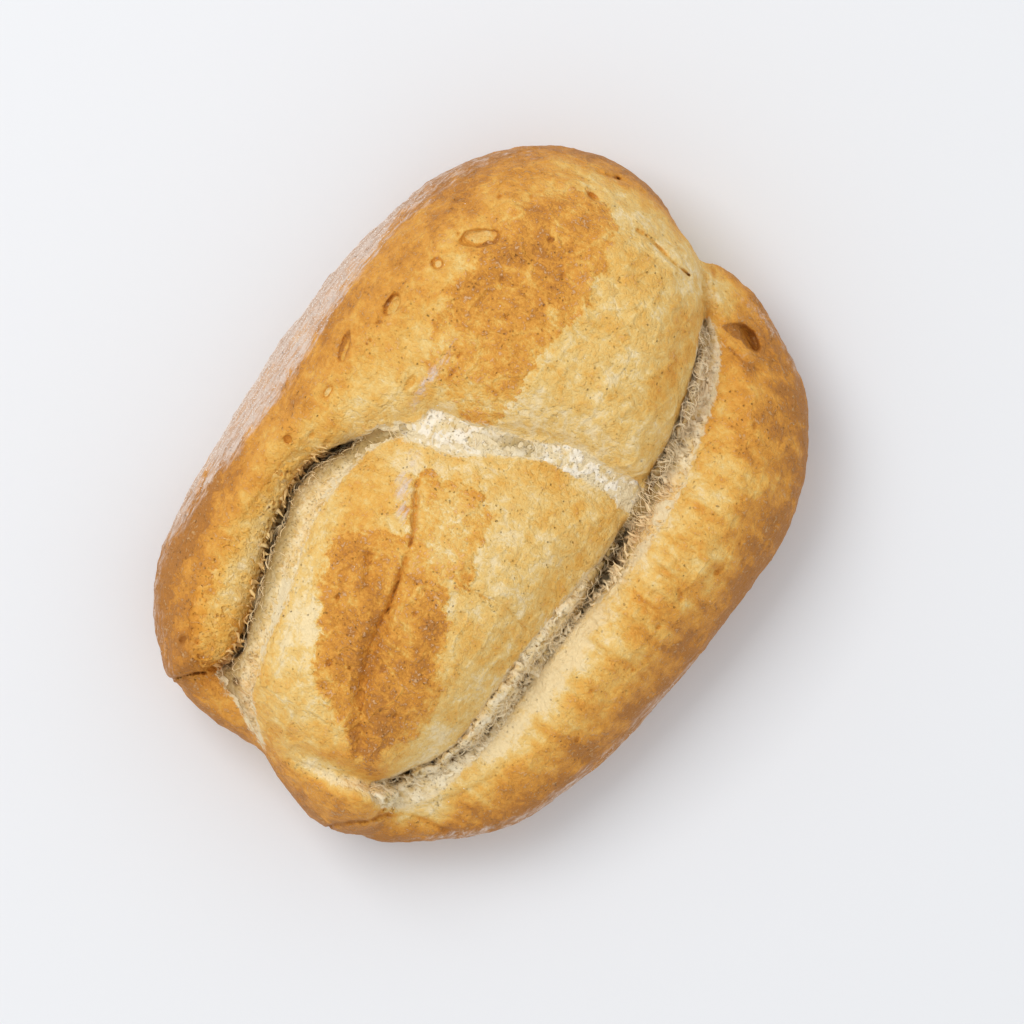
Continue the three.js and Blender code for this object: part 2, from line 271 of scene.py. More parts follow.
# Outlines in millimetres of where crumb shows, with how golden it is and which way its threads run.
tears = {
    "tearHeart": dict(
        golden=0.42, white=0.1, holes=0.35, across=(-0.1, 1, 0), stretch=(0.7, 3.2, 1),
        threads=0.3, shreds=0, outline=[
            (3, 31), (0, 34), (-8, 38), (-20, 39.5), (-30, 39.5), (-40, 37.5), (-50, 34), (-60, 31),
            (-70, 29), (-80, 26), (-88, 22), (-95, 14), (-98, 11), (-97, 14), (-94.5, 20), (-91, 28),
            (-89, 34.5), (-86, 36.5), (-78, 35.5), (-68, 38.5), (-58, 42.5), (-50, 45.5), (-44, 47),
            (-36, 49.5), (-28, 51), (-20, 50), (-12, 46.5), (-5, 42.5), (2, 38.5)]),
    "tearRim": dict(
        golden=1, white=0, holes=0.8, across=(0, -1, 0), stretch=(1.1, 1.6, 1.1),
        threads=0.2, shreds=0.25, outline=[
            (-11, 48.5), (-14, 51.5), (-17, 55.5), (-25, 57), (-33, 57.5), (-45, 57), (-60, 57), (-72, 55.5),
            (-80, 52), (-86, 47), (-89, 41), (-87.5, 37), (-78, 35.5), (-68, 38.5), (-58, 42.5), (-50, 45.5),
            (-44, 47), (-36, 49.5), (-28, 51), (-20, 50)]),
    "tearCheek": dict(
        golden=0.22, white=0.3, holes=0.9, across=(0.05, 1, 0), stretch=(0.8, 2.4, 1.1),
        threads=0.42, shreds=0.4, outline=[
            (-87.5, -20), (-81.5, -24), (-75.5, -28), (-68, -32), (-58, -33.8), (-40, -33.4), (-20, -33.8),
            (-5, -34.8), (10, -36.2), (22, -35.5), (35, -33.5), (50, -31.3), (66, -26.5), (80, -20),
            (84, -20), (82, -25), (76, -30), (66, -35.5), (56, -38.5), (48, -41), (38, -43.5), (26, -45),
            (14, -45.5), (4, -44.2), (-4, -42.8), (-20, -41.9), (-40, -41.6), (-58, -41.8), (-68, -40.2),
            (-76, -38.4), (-84, -34.5), (-91, -27)]),
    "tearMiddle": dict(
        golden=0, white=0.8, holes=0.4, across=(1, 0.35, 0), stretch=(1.4, 1.4, 1),
        threads=0.12, shreds=0, outline=[
            (3.5, 37), (8, 31.5), (13.5, 30.2), (15.5, 25), (17, 18), (20, 12), (22, 5), (25, -2),
            (28.5, -9), (30, -16), (30.5, -24), (32, -31), (31, -35), (26, -36), (22.5, -34), (24, -27),
            (23, -20), (22, -12), (20.5, -5), (17, 1), (14, 6), (10, 12), (6, 17), (4, 24), (1.5, 31)]),
}
# The bottoms of the tears, painted dark as shade in them: (x, y, how dark).
slitShadeWidth = 0.9
slitShadeLines = [
    [(3, 36.5, 0.9), (-5, 41.5, 0.9), (-12, 45, 0.75), (-20, 48.5, 0.75), (-28, 50, 1), (-36, 48.2, 1),
        (-44, 46.2, 1), (-50, 44.7, 1), (-58, 41.2, 0.7), (-68, 37.6, 0.8), (-78, 34.3, 0.8), (-86, 36, 0.7),
        (-89, 34, 0.8), (-91, 28, 1), (-95, 20, 0.8), (-98, 13, 0.5)],
    [(82, -20, 1), (72, -25.5, 0.4), (60, -30, 0.4), (45, -34, 0.5), (30, -36, 0.9), (20, -38, 1),
        (10, -40, 1), (2, -41.3, 0.9), (-5, -41, 0.4), (-15, -40.2, 0.1), (-30, -39.2, 0.1),
        (-45, -38.8, 0.1), (-57, -39, 0.1), (-67, -35.3, 0.1), (-75, -31, 0.2), (-80, -27, 0.3),
        (-85, -22, 0.3)],
]
# Crumb that lies in the shade of the tears: (width, line of x, y, how dark).
shaded = [
    (4.4, [(4, 35.5, 0.8), (-5, 40.5, 1), (-12, 43.5, 0.85), (-20, 46.5, 0.7), (-30, 48.5, 0.7),
        (-40, 46, 0.9), (-50, 43.5, 1), (-60, 39.5, 0.9), (-70, 36.5, 0.8), (-80, 34, 0.75), (-87, 32, 0.8),
        (-91, 27, 0.7), (-96, 18, 0.4)]),
    (1.5, [(-80, -28, 0.1), (-68, -35.5, 0.15), (-57, -38.8, 0.2), (-40, -39, 0.15), (-25, -39.3, 0.2),
        (-10, -40, 0.6), (0, -40.5, 0.8)]),
    (3.8, [(-6, -40, 0.5), (4, -40, 1.1), (12, -39.3, 1.35), (20, -38.3, 1.3), (28, -36.8, 1.1),
        (36, -35.6, 0.9), (46, -33.8, 0.6), (60, -30.3, 0.55), (70, -27, 0.5), (80, -21.5, 0.7)]),
    (3.6, [(17, 12, 0.4), (20, 4, 0.7), (22, -3, 0.4)]),
]
# Where threads and shreds hang over the tears: (width, line of x, y, how many).
fringes = [
    (1.8, [(4, 35, 0.8), (-5, 41.5, 0.5), (-12, 45, 0.4), (-28, 50, 0.5), (-44, 46.2, 0.5), (-68, 37.6, 0.4),
        (-88, 35, 0.4), (-95, 20, 0.3)]),
    (3, [(82, -20.5, 0.8), (60, -30.5, 0.9), (40, -36, 1), (20, -39.5, 1.3), (8, -41, 1), (0, -41.3, 0.6),
        (-10, -40.5, 0.3), (-60, -39, 0.3), (-75, -31, 0.2)]),
]
shreddedEdges = [
    (0.9, [(-89, 38, 0.9), (-80, 36.8, 1), (-70, 38.8, 1), (-60, 42.6, 1), (-50, 46.2, 1), (-42, 48.5, 1),
        (-33, 51, 1), (-25, 52, 1), (-18, 51, 1), (-12, 48.5, 0.9), (-6, 44.5, 0.6)]),
    (0.8, [(-84, -31, 0.3), (-70, -38, 0.5), (-60, -40.6, 0.8), (-50, -40.8, 0.8), (-40, -40.6, 0.8),
        (-25, -41, 1), (-15, -41.4, 1), (-5, -42.2, 1), (5, -42.8, 1), (15, -41.6, 1), (25, -40.4, 1),
        (35, -38.8, 1), (45, -37.2, 0.8), (55, -35, 0.6), (68, -31.5, 0.5), (78, -26, 0.5)]),
]
# Spots are (x, y, half length, half width, amount) and, where it isn't 0, their turn in degrees.
# These are open holes in the bottoms of the tears, with how deep they are.
pits = [
    (3, -41.6, 2.3, 1.2, 3), (9.5, -41.9, 1.7, 1, 2.6), (-53, -38.9, 1.7, 0.8, 2.2),
    (-49, -39, 1.3, 0.8, 2.2), (-37, -38.8, 1.3, 1, 2, 20), (-34, -38.6, 1, 0.8, 2),
    (-67, -35.6, 1.6, 0.7, 2, -20), (-63, -36.7, 2.2, 0.8, 2.2, -25), (-57, -39, 1, 0.7, 1.6),
    (-29, -38.7, 0.8, 0.6, 1.6), (-50, 44.6, 4, 0.9, 2.5, 15), (-37.5, 47.6, 4.2, 1.2, 3, 22),
    (-25, 50.2, 5, 1.1, 2.5), (2, 37.5, 2.6, 1.2, 3, -45), (-63, 39.2, 3, 0.8, 2, 22),
    (-77, 34.6, 3.5, 0.9, 2), (-86, 30, 1.4, 1, 1.4, 60), (-88, 33, 1.5, 0.9, 2, 80),
    (20, -37.8, 4, 0.8, 2, 8), (33, -35.8, 4, 0.8, 1.8, 8), (81, -21, 2, 0.8, 2.4, 40),
    (67, -27.2, 1.5, 0.8, 1.5, 20), (-8, -41, 2.5, 0.6, 1.5), (-82, -25.6, 2.5, 0.7, 1.5, -35),
]
# Where crumb bulges into the tears and makes them shallower: (width, line of x, y, by how much).
bulges = [
    (2.7, [(-95, 16, 1), (-88, 30, 1.3), (-80, 32.5, 1.6), (-66, 35, 1.8), (-50, 40.5, 1.8),
        (-36, 44.5, 1.8), (-24, 46, 1.6), (-10, 42.5, 1.2), (0, 37, 0.8)]),
    (3.2, [(-88, -24, 2.6), (-76, -32, 3), (-66, -35.8, 3), (-57, -37.3, 2.9), (-30, -37.4, 3),
        (-10, -37.6, 2.6), (5, -38, 1.6), (20, -37.5, 1.4), (35, -36.5, 2.4), (50, -34.5, 3.2),
        (65, -30, 3.2), (78, -24, 2.2)]),
    (1.5, [(-87, -22, 1.2), (-80, -27, 2.2), (-74, -30.5, 2.2), (-67, -34.5, 1.2)]),
    (1.6, [(-80, -30, 1), (-68, -37, 2), (-57, -39.5, 2.4), (-40, -39.6, 2.4), (-20, -40.2, 2.3),
        (-8, -40.6, 1.4)]),
]
brownZones = {
    "head": [
        (20, 29), (18, 18), (21, 11.5), (24, 12.5), (28, 11), (33, 11), (38, 12.5), (50, 12.5), (57, 12),
        (64, 11), (70, 13), (77, 13.5), (80, 15.5), (88, 17), (92, 25), (91, 35), (84, 42), (72, 46),
        (60, 47), (45, 46), (32, 43), (24, 38)],
    "heart": [
        (-44, 28), (-34, 31), (-28, 26), (-24, 20), (-22, 12), (-25, 2), (-27, -5), (-30, -8), (-40, -12),
        (-50, -18), (-60, -22), (-68, -20), (-78, -17), (-84, -18), (-80, -8), (-75, 3), (-68, 14),
        (-57, 19), (-50, 25)],
    "patch": [
        (-22, 12), (-12, 19), (-4, 21.5), (0, 17), (2, 8), (1, 2), (-3, -4), (-9, -5), (-15, -6.5),
        (-22, -9), (-24, -3)],
}
# Spots where the brown fades out softly.
softBorders = [
    (-60, -20, 26, 8, 0.9, 15), (-76, 4, 14, 18, 0.85, -40), (-36, -10, 14, 7, 0.5, 20),
    (60, 45, 40, 6, 0.9), (22, 30, 6, 12, 0.6), (91, 28, 6, 14, 0.7), (-50, 27, 14, 6, 0.8, 30),
    (-2, 8, 5, 12, 0.4), (-12, -7, 12, 4, 0.3),
]
# How brown the skin is at a distance from the loaf's edge, then soft spots that are browner or paler. Some
# darker spots are partly painted shade: in the tail's furrow, on the low slopes of the heart and the head
# beside the long tear, and on the crumb deep in that tear.
bakingAndShade = dict(
    atEdge=[
        (0, 0.98), (3, 0.86), (6, 0.77), (10, 0.66), (16, 0.52), (23, 0.39), (32, 0.29), (50, 0.21)],
    spots=[
        (-20, 74, 60, 4, -0.1), (-50, 66, 50, 6, 0.08), (-90, 8, 15, 16, -0.34), (92, 8, 9, 14, -0.26),
        (0, -75, 75, 4, 0.05), (-20, 30, 16, 8, 0.24), (-35, -46, 30, 6, -0.36),
        (-60, -44, 14, 5, -0.28, 20), (0, -47, 25, 4, -0.12), (72, -45, 20, 10, 0.07, 30),
        (-82, -33, 13, 6, -0.42, 15), (-96, -38, 8, 12, 0.2, 40), (-80, -46, 12, 7, 0.14, 30),
        (5, -62, 50, 7, -0.1), (17, -12, 5, 12, 0.12), (-89, -18, 4, 16, -0.3, 12), (93, -20, 6, 8, -0.1),
        (10, 35, 12, 4, 0.14), (28, 45, 20, 8, 0.06, 10), (72, 50, 16, 7, 0.1, -20),
        (-60, 48, 20, 5, -0.04, 12), (-28, -30, 40, 5, -0.06), (60, -22, 25, 6, -0.03, 12),
        (14, 15, 6, 14, -0.08, 20), (38.5, 3, 5.5, 9, 0.14), (-92.5, -8, 2.4, 15, -0.42, 14),
        (-98, -2, 4, 14, 0.05, 10), (-60, 49, 26, 5, -0.12, 10), (12, -61, 4, 2, 0.16, 30),
        (3, -53, 2, 5, 0.12, 10), (26, -55, 2, 6, 0.14, 10), (-28, -53, 2, 6, 0.1), (-12, -47, 4, 3, 0.12),
        (42, -46, 3, 7, -0.12), (14, -48, 3, 4, -0.12), (96, -2, 8, 14, -0.3), (96, 30, 6, 18, -0.2),
        (92, -16, 7, 6, -0.25, 30), (-79, -40, 12, 5, -0.55, 18), (-86, -6, 3.5, 14, 0.24, 12),
        (-84, 50, 9, 6, 0.2, 40), (-50, 69, 26, 3, 0.16, 8), (15, 69, 14, 4, 0.18), (14, 61, 16, 4, 0.1),
        (-35, 61, 18, 3, 0.06), (45, 54, 22, 8, 0.12), (50, 63, 20, 4, 0.08), (-5, -30, 36, 4, 0.16),
        (58, -20, 16, 4, 0.14, 15), (-58, 27, 18, 5, -0.26, 22), (16, 10, 4, 8, 0.12),
        (-45, -60, 14, 5, -0.1), (15, -50, 12, 5, 0.14), (84, -8, 14, 6, -0.22, 10), (66, 40, 5, 5, -0.1),
        (96, 26, 7, 26, -0.13), (-62, 12, 15, 6, -0.26, 35), (-80, -1, 7, 10, 0.14, 10),
        (35, -10, 4, 12, -0.14), (94, -22, 5, 10, -0.16), (-88, -30, 8, 6, -0.25),
        (81.8, -32, 1.6, 9, -0.12), (79, -38, 2, 5, 0.2), (-37, 51.5, 16, 3, -0.14, 15),
        (-10, -30, 22, 4, 0.06), (66, -34, 14, 3, 0.12, 15), (-64, -18, 10, 5, 0.14, 10),
        (-42, -20, 14, 5, 0.12), (92, 10, 8, 30, -0.07), (14, -40, 22, 3, 0.16), (-3, 26, 6, 6, -0.28),
        (-30, -45, 40, 3, -0.1), (63, 52, 6, 3, -0.2, -30)],
    brownBase=0.58,
    brownSpots=[
        (70, 33, 24, 12, 0.13), (45, 24, 18, 8, 0.05), (-68, -10, 18, 8, 0.28, 40),
        (-45, 4, 14, 8, 0.05, 15), (-38, 24, 10, 7, 0.03, 20), (-60, 6, 14, 6, 0.1, 20),
        (22, 24, 7, 13, -0.2), (30, 40, 12, 6, -0.14), (-9, 8, 11, 12, -0.34), (80, 38, 5, 4, 0.14),
        (-36, 18, 11, 6, 0.2, 25), (-44, 9, 13, 5, 0.12, 15), (52, 40, 16, 6, 0.14),
        (-48, -14, 18, 7, 0.16, 20), (-80, -6, 6, 12, 0.2, -30), (-14, 10, 5, 4, 0.14),
        (-23, 0, 6, 6, -0.22), (-40, -9, 12, 5, 0.12, 10)],
)
floured = [
    (7, [(-96, 50, 0.45), (-82, 67, 0.5), (-68, 74, 0.6), (-48, 76.5, 0.9), (-22, 76, 1.2), (5, 76.5, 1.2),
        (38, 76.5, 1), (62, 71.5, 0.6), (82, 63.5, 0.48), (97, 50, 0.35)]),
    (3.4, [(95, -26, 0.5), (92, -42, 0.5), (80, -59, 0.4), (60, -72.5, 0.3), (28, -78.5, 0.35),
        (0, -77.5, 0.5), (-30, -74, 0.55), (-60, -67.5, 0.55), (-76, -59.5, 0.5), (-97, -38, 0.5)]),
    (3.2, [(-7, 25, 0.5), (-13, 21.5, 0.62), (-19, 17, 0.45)]),
    (2.6, [(9, 35, 0.5), (20, 36, 0.6), (30, 35.5, 0.5), (40, 38, 0.3)]),
    (3, [(-4, 24, 0.4), (-1, 27, 0.5), (1, 25, 0.4)]),
]


dentForm = dict(wall=(-0.25, 0.55), wobble=0.3, wobbleSize=2, drift=0.5, driftSize=4)


# Where x and y lie in a spot's own frame, in half lengths and half widths, and its amount.
def inSpot(spot, x, y):
    cx, cy, rx, ry, amount, *turn = spot
    turn = math.radians(turn[0] if turn else 0)
    c, s = math.cos(turn), math.sin(turn)
    return ((x - cx) * c + (y - cy) * s) / rx, (-(x - cx) * s + (y - cy) * c) / ry, amount


# Spots with a floor and steep walls.
def hollowed(spots, x, y, wobble=0):
    total = np.zeros(x.shape)
    for spot in spots:
        u, v, deepest = inSpot(spot, x, y)
        away = (np.hypot(u, v) - 1) * min(spot[2:4]) + dentForm["wobble"] * wobble
        total = np.maximum(total, deepest * smoothstep(-away, *dentForm["wall"]))
    return total


def softSpots(spots):
    total = np.zeros(plan.x.shape)
    for spot in spots:
        u, v, amount = inSpot(spot, plan.x, plan.y)
        total += amount * np.exp(-(u**2) - v**2)
    return total


def planDepth(outline):
    return insideOutline(outline, plan.x, plan.y, 4)[0]


# The loaf's own edge, put together from the outer stretches of the swellings' outlines.
def outerEdge():
    head, heart, cheek, lip = [swellings[name]["outline"] for name in ("head", "heart", "cheek", "lip")]
    return planDepth([*head[1:16], *lip[1:4], *heart[14:9:-1], *cheek[16:0:-1]])


# Strongest along its lines, and less beside them. A line is its width, then points with amounts.
def alongLines(lines):
    total = np.zeros(plan.x.shape)
    for width, line in lines:
        away, amount = besideLine(line, plan.x, plan.y)
        total = np.maximum(total, amount * np.exp(-((away / width) ** 2)))
    return total


tearDepth = {name: planDepth(tear["outline"]) for name, tear in tears.items()}
tornDepth = np.max(list(tearDepth.values()), axis=0)
bulge = alongLines(bulges)
pitted = hollowed(pits, plan.x, plan.y)
slitShade = alongLines([(slitShadeWidth, line) for line in slitShadeLines])
skinPlan = dict(
    bakeOut=np.interp(outerEdge(), *zip(*bakingAndShade["atEdge"])) + softSpots(bakingAndShade["spots"]),
    bakeIn=bakingAndShade["brownBase"] + softSpots(bakingAndShade["brownSpots"]),
    brown=np.max([planDepth(outline) for outline in brownZones.values()], axis=0),
    keen=np.clip(1 - softSpots(softBorders), 0.12, 1),
    crumbDepth=np.max([tearDepth[name] for name, tear in tears.items() if tear["golden"] < 1], axis=0),
    flour=alongLines(floured),
)
crumbPlan = dict(
    bakeOut=skinPlan["bakeOut"],
    tornDepth=tornDepth,
    # Painted shade in the bottoms of the tears and in their pits.
    deep=np.maximum(0.75 * slitShade, np.minimum(pitted / 1.4, 1)),
    shadow=alongLines(shaded),
    fringe=alongLines(fringes),
    shredded=alongLines(shreddedEdges),
)
print("plan of the colours ready")


# Craters, blisters and holes: sharp edged spots with their depths.
craters = [
    (0, 58, 2.4, 1.5, 0.9), (13, 62, 5, 1.6, 1.2, 20), (31, 57.5, 4.2, 1.8, 1.6, 5), (49, 54, 2, 2, 1.3),
    (62.5, 48, 6, 2.8, 1.9, -50), (-18.5, 60, 1.4, 1.2, 1.6), (-13.5, 54.5, 0.9, 0.7, 0.9),
    (18, 57, 0.7, 0.6, 1.2), (19.5, 57, 0.6, 0.5, 1.2), (25, 57.5, 0.5, 1, 1, 20), (17, 55.5, 0.6, 0.5, 1),
    (59.5, 53.8, 0.9, 0.7, 1), (53, 51, 0.6, 0.5, 0.8), (75.5, 51, 0.8, 0.6, 0.8), (81, 43.5, 0.8, 0.7, 0.8),
    (26, 31.5, 2.4, 0.9, 0.9, 10), (31, 32.5, 1.8, 0.9, 0.9, -20), (16, 40, 4, 1.3, 0.9, 5),
    (92, 28, 0.8, 2.3, 1.6, -8), (-64.5, 10.5, 1.3, 1, 0.7), (-57, -3, 1.2, 1, 0.6),
    (-86.5, 43.5, 1.5, 1.2, 1.6), (-85, 50, 1.3, 1, 1.4), (-83, 46, 1, 1.4, 1.2),
    (-91.5, -28, 0.9, 0.6, 1.2), (-93, -27.6, 0.6, 0.5, 1), (-90, -30, 0.6, 0.6, 0.9),
    (86, -29.5, 1.6, 5, 4.5, 12), (86.2, -33.5, 1.9, 4.6, 5, -16), (3, -42.3, 2.2, 1.1, 4),
    (9.5, -42.4, 1.6, 0.9, 3.5), (28, 17, 1.6, 0.7, 0.5, 60), (41, -27, 1.6, 0.7, 0.4, -60),
    (-47, 20, 0.9, 0.7, 0.7), (-38, -1, 0.8, 0.7, 0.6), (-30, 4, 0.9, 0.6, 0.6, 20), (-62, 5, 0.8, 0.8, 0.7),
    (-66, -14, 1, 0.7, 0.6, 10), (67, 22, 1, 0.7, 0.6), (48, 28, 1.2, 0.8, 0.6, 40),
    (74, 31, 1.3, 0.8, 0.7, -20), (57, 36, 1.4, 0.7, 0.6, 10), (-40, -62, 1, 0.8, 0.8),
    (-26, -57, 0.9, 0.8, 0.8), (-14, -63, 0.8, 0.7, 0.8), (24, -66, 1, 0.9, 1), (12, -61, 2.6, 1, 0.9, 35),
    (1, -62, 0.8, 0.7, 0.9), (46, -60, 0.8, 0.7, 0.7), (66, -50, 1.2, 0.7, 0.8, 30),
    (35, -67, 0.7, 0.6, 0.8), (54, -42, 2, 0.6, 0.9, -10),
]
# The wide ones have a paler floor inside their dark edge.
paleFloors = [
    (0, 58, 1.7, 0.9, 1), (31, 57, 3.3, 1.1, 1, 5), (49, 53.7, 1.2, 1.1, 0.8), (63, 48.6, 5, 1.9, 1, -50),
    (13, 61.4, 4, 0.8, 0.6, 20),
]
# Fine cracks and creases in the skin: (half width, depth, points). A negative depth is a raised edge.
creases = [
    (0.45, 1.7, [(92, 12), (91.5, 5), (90.5, -2), (90.5, -8)]),
    (0.6, 1.3, [(100, 32), (101, 29), (102, 26)]), (0.5, 0.7, [(102, 26), (102.4, 20), (102, 14)]),
    (0.45, 0.9, [(-23, -11), (-22, -15), (-21, -20), (-22.5, -31)]),
    (0.4, 1.3, [(-99, 47), (-93, 43), (-89.5, 39)]),
    (0.7, 1.3, [(-105, -18), (-100, -22), (-96, -26), (-90, -32), (-87, -38), (-86, -45), (-84, -50)]),
    (0.8, 0.6, [(25, -52), (26.5, -57), (28, -62)]), (0.7, 0.5, [(-29, -45), (-28.5, -53), (-30, -60)]),
    (0.5, 1, [(-95, 4), (-93.6, -2), (-92.4, -6)]),
    (1.3, -0.9, [(-94, 2), (-92, -6), (-89.5, -16), (-87.5, -24)]),
    (0.5, 0.7, [(43.5, 12), (43.8, 6), (43.5, 0)]), (0.9, -0.7, [(-27, 11.8), (-36, 8.9), (-46, 6.6)]),
    (0.45, 1.2, [(-26, 10.4), (-31, 8.6), (-36, 7.3), (-42, 6)]),
    (0.4, 0.5, [(-42, 6), (-50, 4.3), (-63, -0.7), (-74, -8)]),
    (1.3, 0.8, [(-28, 21), (-34, 18), (-40, 14)]),
    (0.8, -0.5, [(-4, 23), (-10, 20.2), (-16, 16.2), (-22, 13.2)]),
    (0.5, 1.3, [(-2, 22.3), (-10, 18.8), (-16, 14.8), (-23, 11.6)]),
    (1.2, -0.8, [(-27, 25), (-34, 21), (-40, 17)]), (0.5, 0.5, [(-30, -8), (-27, -7.5), (-24, -10)]),
    (0.9, 0.45, [(-8, -46), (-5, -54), (-6, -62)]), (0.8, 0.4, [(4, -48), (8, -55), (8, -62)]),
    (0.9, 0.4, [(14, -50), (17, -57), (16, -64)]), (0.9, -0.6, [(40, -34), (41.5, -42), (42, -50)]),
    (1.1, -1.4, [(83, -22), (82, -28), (81.5, -35), (82.5, -41)]),
    (0.6, 1.2, [(80, -30), (79.6, -36), (80.5, -42)]),
    (0.9, -0.9, [(87.5, -22), (89.5, -29), (89, -37), (87.5, -43)]),
    (0.7, 0.9, [(97, -13), (92, -16), (88, -20)]), (0.5, 0.6, [(64, -38), (62, -44), (63, -50)]),
    (0.7, -0.6, [(14.5, -45), (16, -53), (15, -60)]), (0.7, -0.6, [(-4, -45), (-3, -50), (1, -56)]),
    (0.6, -0.5, [(22, -44), (24, -52), (28, -60)]), (0.6, -0.5, [(-12, -46), (-13, -53), (-12, -60)]),
    (0.6, -0.5, [(32, -42), (34, -49), (34, -57)]), (0.7, 0.5, [(52, -8), (53, -14), (52.5, -19)]),
    (0.6, 0.4, [(48, 3), (56, 5), (64, 3)]), (0.6, -0.4, [(10, 8), (8, 0), (7, -8)]),
    (0.6, -0.4, [(14, 6), (14, -2), (12, -9)]), (0.6, 0.4, [(-45, -52), (-40, -56), (-38, -61)]),
    (0.6, 0.4, [(58, -42), (66, -45), (72, -44)]),
]


# How far craters and creases sink the skin, in millimetres, and how pale a crater's floor is.
def dents(x, y):
    wobble = planNoise(x, y, dentForm["wobbleSize"], 5)
    driftX, driftY = (dentForm["drift"] * planNoise(x, y, dentForm["driftSize"], seed) for seed in (6, 7))
    x, y = x + driftX, y + driftY
    creased = np.zeros(x.shape)
    for halfWidth, deepest, line in creases:
        away, _ = besideLine([(*p, 0) for p in line], x, y, 4)
        creased += deepest * np.exp(-((away / halfWidth) ** 2)) * (0.75 + 0.35 * wobble)
    return hollowed(craters, x, y, wobble), creased, hollowed(paleFloors, x, y, wobble)


# Turns a block of depths into a mesh at depth 0, and returns its corners in millimetres and its faces.
def surfaceOf(block, xs, ys, zs):
    band = 4
    grid = openvdb.FloatGrid(float(band))
    grid.copyFromArray(np.clip(block, -band, band).astype(np.float32), tolerance=1e-6)
    points, triangles, quads = grid.convertToPolygons(0.0, 0.0)
    low, step = np.array([xs[0], ys[0], zs[0]]), xs[1] - xs[0]
    return points.astype(float) * step + low, triangles, quads


def meshObject(name, points, triangles, quads):
    mesh = bpy.data.meshes.new(name)
    mesh.from_pydata(points * mm, [], [*map(tuple, triangles), *map(tuple, quads)])
    mesh.update()
    piece = bpy.data.objects.new(name, mesh)
    bpy.context.scene.collection.objects.link(piece)
    return piece


# Makes the result of a modifier the piece's plain mesh.
def settle(piece, modifier):
    mesh = piece.data
    plain = bpy.data.meshes.new_from_object(piece.evaluated_get(bpy.context.evaluated_depsgraph_get()))
    piece.modifiers.remove(modifier)
    piece.data = plain
    plain.name = piece.name + "Mesh"
    if mesh.users == 0:
        bpy.data.meshes.remove(mesh)


def thinTo(piece, triangleLimit):
    triangles = sum(len(p.vertices) - 2 for p in piece.data.polygons)
    thinner = piece.modifiers.new("thin", "DECIMATE")
    thinner.ratio = min(1, triangleLimit / triangles)
    settle(piece, thinner)


def cornersOf(piece):
    points = np.empty(len(piece.data.vertices) * 3, np.float32)
    piece.data.vertices.foreach_get("co", points)
    return points.reshape(-1, 3) / mm


def smoothen(piece):
    piece.data.polygons.foreach_set("use_smooth", np.ones(len(piece.data.polygons), bool))


crust = dict(
    step=0.6, reach=((-110, 110.1), (-83, 83.1), (-3, 82)), triangles=196000, skin=0.5, seed=11,
    swell=0.6, swellSize=14, dimple=0.36, dimpleSize=4.5, pebble=0.22, pebbleSize=1.9,
    vein=0.24, veinSize=6.5, veinWidth=0.13, strand=0.85, strandSize=(1.9, 9, 9),
)


# How much the skin below the long tear is drawn out into strands.
def stretchedSkin(at):
    x, y, z = at.T
    along = smoothstep(x, -45, -15) * smoothstep(-x, -72, -50)
    return along * smoothstep(-y, 40, 44) * smoothstep(y, -68, -56) * smoothstep(z, 22, 30)


def makeCrust():
    xs, ys, zs = (np.arange(low, high, crust["step"]) for low, high in crust["reach"])
    block = loafDepth(xs, ys, zs)
    x, y = np.meshgrid(xs, ys, indexing="ij")
    cratered, creased, _ = dents(x, y)
    sunk = crust["skin"] * smoothstep(plan.read(tornDepth, x, y), -0.2, 0.6) + cratered + creased
    block += (sunk[:, :, None] * smoothstep(zs, 22, 30)).astype(np.float32)
    near = np.nonzero(np.abs(block) < 2.2)
    at = np.stack([xs[near[0]], ys[near[1]], zs[near[2]]], -1)
    seed = crust["seed"]
    block[near] += (crust["swell"] * noise(at, crust["swellSize"], seed)
                    + crust["dimple"] * noise(at, crust["dimpleSize"], seed + 1)
                    + crust["pebble"] * noise(at, crust["pebbleSize"], seed + 2)
                    - crust["vein"] * veins(at, crust["veinSize"], crust["veinWidth"], seed + 3)
                    - crust["strand"] * stretchedSkin(at) * noise(at, crust["strandSize"], seed + 9))
    block = np.maximum(block, -zs[None, None, :].astype(np.float32))
    points, triangles, quads = surfaceOf(block, xs, ys, zs)
    points[:, 2] = np.maximum(points[:, 2], 0)
    piece = meshObject("crust", points, triangles, quads)
    thinTo(piece, crust["triangles"])
    return piece


crustPiece = makeCrust()
print("crust ready", len(crustPiece.data.polygons))
at = cornersOf(crustPiece)
centre = (at.min(0) + at.max(0)) / 2 * (1, 1, 0)
print("centre of the crust", centre.round(2), "size", (at.max(0) - at.min(0)).round(2))

crumb = dict(
    step=0.42, low=26, high=76, triangles=90000, thickness=7, rimThickness=2.2, seed=31,
    ragged=0.7, lump=0.45, hole=1.7, holeRadius=0.58, holeDepth=1.3,
    fibre=1.3, fibreWidth=0.5, fibreDepth=0.36, warp=0.7, warpSize=2.6,
)


